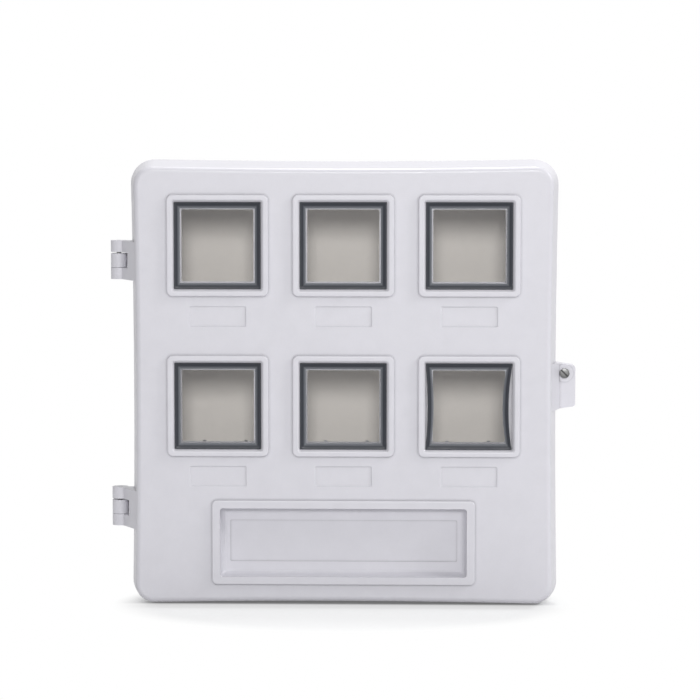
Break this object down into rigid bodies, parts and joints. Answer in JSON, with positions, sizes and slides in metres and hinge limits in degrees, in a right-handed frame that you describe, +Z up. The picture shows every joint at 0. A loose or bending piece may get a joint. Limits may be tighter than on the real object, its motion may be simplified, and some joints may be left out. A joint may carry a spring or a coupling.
{
  "type": "electric meter box",
  "caption": "Shallow wall box for electricity meters: moulded base, hinged cover with square glazed windows in a grid, a sunken plate field and a screw latch.",
  "frame": {"origin": "centre of the four wall holes, on the back plane of the wall pads", "axes": "+X to the right seen from the front, +Y into the wall, +Z up; the cover faces -Y"},
  "size_m": [0.589, 0.1625, 0.565],
  "materials": {
    "housing": "satin",
    "board": "matte",
    "rubber": "matte",
    "glazing_rubber": "satin",
    "insulator": "matte",
    "steel": "satin",
    "dark_steel": "satin",
    "zinc": "satin",
    "brass": "satin",
    "pane": "clear"
  },
  "bodies": {
    "box": {"base_box": "housing", "door_seal": "rubber", "meter_board": "board", "board_screws": "steel", "meter_hanger_screws": "steel", "breaker_rail": "zinc", "rail_screws": "steel", "neutral_bar": "brass", "neutral_bar_screws": "steel", "earth_bar": "brass", "earth_bar_screws": "steel", "bar_feet": "insulator", "bar_screws": "steel", "cable_grommets": "rubber", "hinge_pin_upper": "steel", "hinge_pin_lower": "steel", "lock_insert": "brass"},
    "cover": {"cover": "housing", "window_pane_1": "pane", "window_seal_1": "glazing_rubber", "window_pane_2": "pane", "window_seal_2": "glazing_rubber", "window_pane_3": "pane", "window_seal_3": "glazing_rubber", "window_pane_4": "pane", "window_seal_4": "glazing_rubber", "window_pane_5": "pane", "window_seal_5": "glazing_rubber", "window_pane_6": "pane", "window_seal_6": "glazing_rubber"},
    "lock_clip": {"lock_clip": "steel"},
    "lock_screw": {"lock_screw": "dark_steel"}
  },
  "joints": [
    {"name": "cover_hinge", "type": "hinge", "parent": "box", "child": "cover", "pos_m": [-0.2863, -0.1053, 0], "axis": [0, 0, -1], "range_deg": [0, 165]},
    {"name": "lock_draw", "type": "slide", "parent": "cover", "child": "lock_clip", "axis": [0, -1, 0], "range_m": [0, 0.00751]},
    {"name": "lock_turn", "type": "hinge", "parent": "lock_clip", "child": "lock_screw", "pos_m": [0.2786, -0.1056, 0.0134], "axis": [0, -1, 0], "range_deg": [0, 2700]}
  ],
  "couplings": [
    {"joint": "lock_draw", "follows": "lock_turn", "m_per_rad": 0.00015915}
  ]
}
